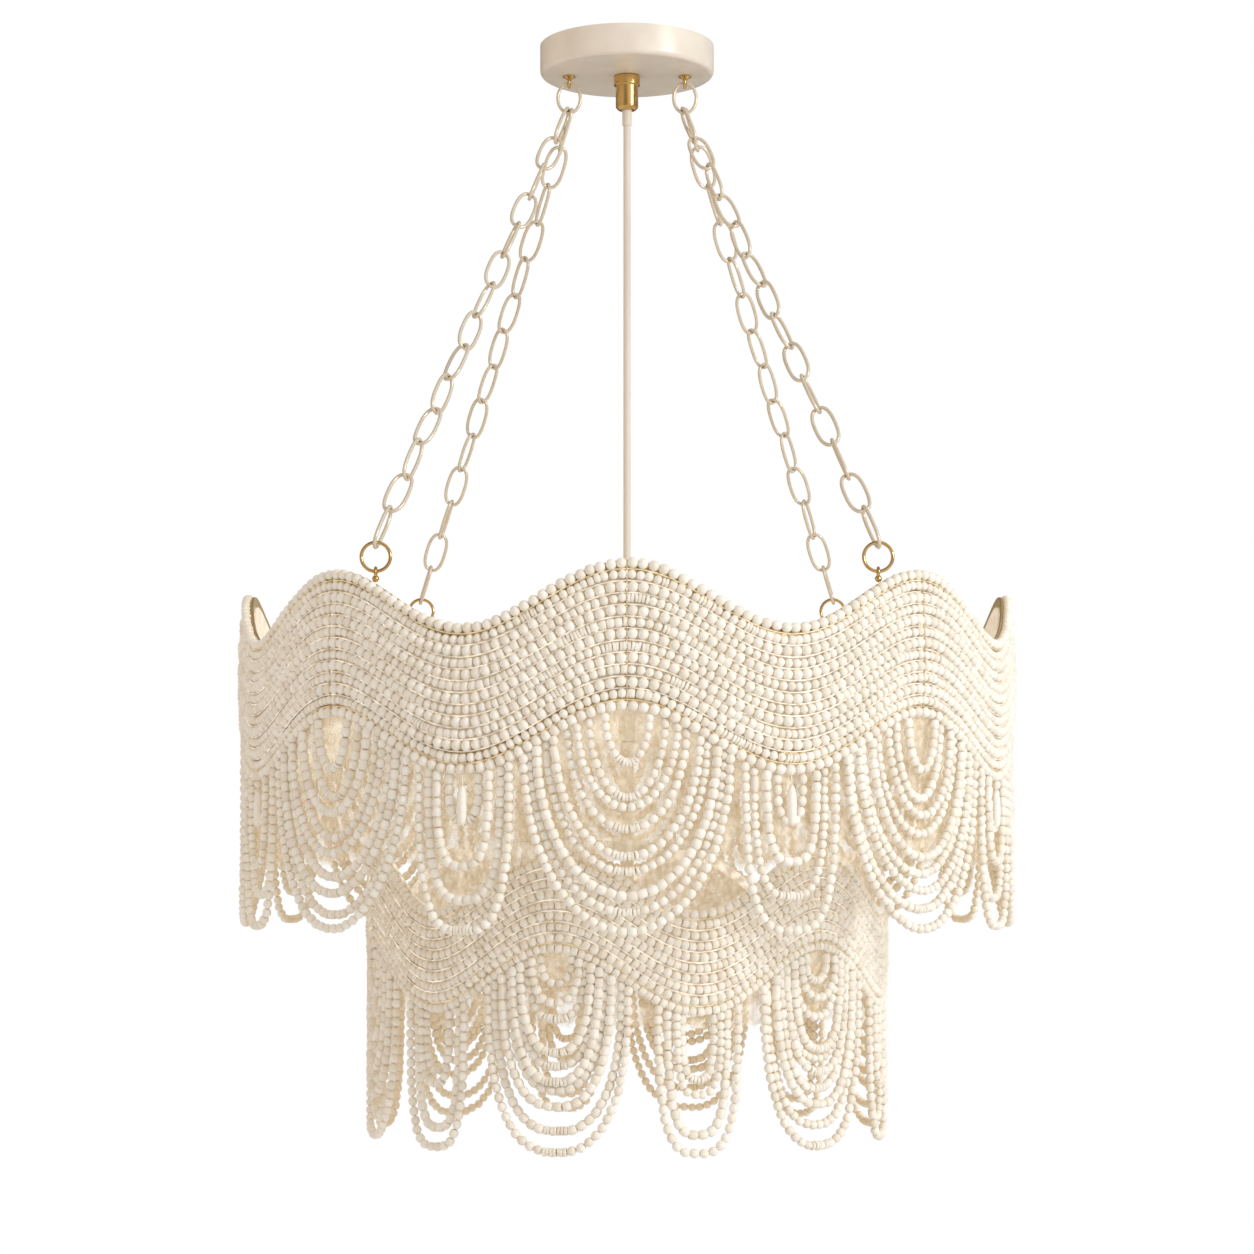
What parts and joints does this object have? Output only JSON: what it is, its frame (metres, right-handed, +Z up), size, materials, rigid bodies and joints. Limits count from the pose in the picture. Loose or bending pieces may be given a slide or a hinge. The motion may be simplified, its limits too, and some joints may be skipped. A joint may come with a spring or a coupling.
{
  "type": "beaded chandelier",
  "caption": "Ceiling chandelier with stacked wavy drums of bead rows and looped bead fringes, hung by chains from a round canopy round a lamp cluster.",
  "frame": {"origin": "middle of the ceiling bracket's top face, on the ceiling", "axes": "+Z up into the ceiling, -Y towards the picture's viewer, +X to the right"},
  "size_m": [0.632, 0.632, 0.8944],
  "materials": {
    "canopy_paint": "satin pearl cream paint",
    "chain_paint": "champagne cream paint",
    "brass": "polished, a little brushed",
    "beads": "whitewashed matte beads",
    "liner": "cream parchment sheet",
    "cord": "cream cord cover",
    "cream_tube": "cream satin",
    "bulb_glass": "frosted candle lamp",
    "zinc": "zinc plate"
  },
  "bodies": {
    "canopy_assembly": {"ceiling_bracket": "zinc", "canopy": "canopy_paint", "left_hanger_eye": "brass", "right_hanger_eye": "brass", "left_lock_nut": "zinc", "right_lock_nut": "zinc", "cord_grip": "brass", "cord_grip_nut": "zinc"},
    "top_rings": {"left_top_ring": "chain_paint", "right_top_ring": "chain_paint"},
    "left_chains": {"front_left_chain": "chain_paint", "back_left_chain": "chain_paint"},
    "right_chains": {"front_right_chain": "chain_paint", "back_right_chain": "chain_paint"},
    "tiers": {"front_left_lug": "brass", "front_right_lug": "brass", "back_left_lug": "brass", "back_right_lug": "brass", "front_left_ring": "brass", "front_right_ring": "brass", "back_left_ring": "brass", "back_right_ring": "brass", "upper_frame": "brass", "upper_liner": "liner", "upper_bead_band": "beads", "lower_frame": "brass", "lower_liner": "liner", "lower_bead_band": "beads", "upper_fringe_1": "beads", "upper_fringe_2": "beads", "upper_fringe_3": "beads", "upper_fringe_4": "beads", "upper_fringe_5": "beads", "upper_fringe_6": "beads", "upper_fringe_7": "beads", "upper_fringe_8": "beads", "lower_fringe_1": "beads", "lower_fringe_2": "beads", "lower_fringe_3": "beads", "lower_fringe_4": "beads", "lower_fringe_5": "beads", "lower_fringe_6": "beads", "upper_spider": "canopy_paint", "lower_spider": "canopy_paint", "upper_stem_tube": "cream_tube", "lower_stem_tube": "cream_tube", "cord_bush": "brass", "finial_nut": "brass", "lamp_cluster": "canopy_paint", "candle_sleeve_1": "cream_tube", "candle_sleeve_2": "cream_tube", "candle_sleeve_3": "cream_tube", "candle_sleeve_4": "cream_tube"},
    "cord_sleeve": {"cord_sleeve": "cord"},
    "supply_cord": {"supply_cord": "cord"},
    "bulb_1": {"bulb_1": "bulb_glass"},
    "bulb_2": {"bulb_2": "bulb_glass"},
    "bulb_3": {"bulb_3": "bulb_glass"},
    "bulb_4": {"bulb_4": "bulb_glass"}
  },
  "joints": [
    {"name": "swing", "type": "hinge", "parent": "canopy_assembly", "child": "top_rings", "pos_m": [0, 0, -0.0311], "axis": [1, 0, 0], "range_deg": [-8, 8]},
    {"name": "sway", "type": "hinge", "parent": "top_rings", "child": "left_chains", "pos_m": [-0.048, 0, -0.0561], "axis": [0, 1, 0], "range_deg": [-5, 5]},
    {"name": "right_chain_sway", "type": "hinge", "parent": "top_rings", "child": "right_chains", "pos_m": [0.048, 0, -0.0561], "axis": [0, 1, 0], "range_deg": [-5, 5]},
    {"name": "tier_tilt", "type": "hinge", "parent": "left_chains", "child": "tiers", "pos_m": [-0.18512, 0, -0.43967], "axis": [0, 1, 0], "range_deg": [-1.5, 1.5]},
    {"name": "cord_swing", "type": "hinge", "parent": "canopy_assembly", "child": "cord_sleeve", "pos_m": [0, 0, -0.05], "axis": [1, 0, 0], "range_deg": [-8.4, 8.4]},
    {"name": "cord_sway", "type": "hinge", "parent": "cord_sleeve", "child": "supply_cord", "pos_m": [0, 0, -0.05], "axis": [0, 1, 0], "range_deg": [-5, 5], "deforming": ["supply_cord"]},
    {"name": "bulb_1_turn", "type": "hinge", "parent": "tiers", "child": "bulb_1", "pos_m": [0.07425, -0.07425, -0.6], "axis": [0, 0, 1], "continuous": true},
    {"name": "bulb_2_turn", "type": "hinge", "parent": "tiers", "child": "bulb_2", "pos_m": [0.07425, 0.07425, -0.6], "axis": [0, 0, 1], "continuous": true},
    {"name": "bulb_3_turn", "type": "hinge", "parent": "tiers", "child": "bulb_3", "pos_m": [-0.07425, 0.07425, -0.6], "axis": [0, 0, 1], "continuous": true},
    {"name": "bulb_4_turn", "type": "hinge", "parent": "tiers", "child": "bulb_4", "pos_m": [-0.07425, -0.07425, -0.6], "axis": [0, 0, 1], "continuous": true}
  ],
  "couplings": [
    {"joint": "right_chain_sway", "follows": "sway", "ratio": 1},
    {"joint": "tier_tilt", "follows": "sway", "ratio": -0.2593},
    {"joint": "cord_swing", "follows": "swing", "ratio": 1.043},
    {"joint": "cord_sway", "follows": "sway", "ratio": 0.955}
  ]
}
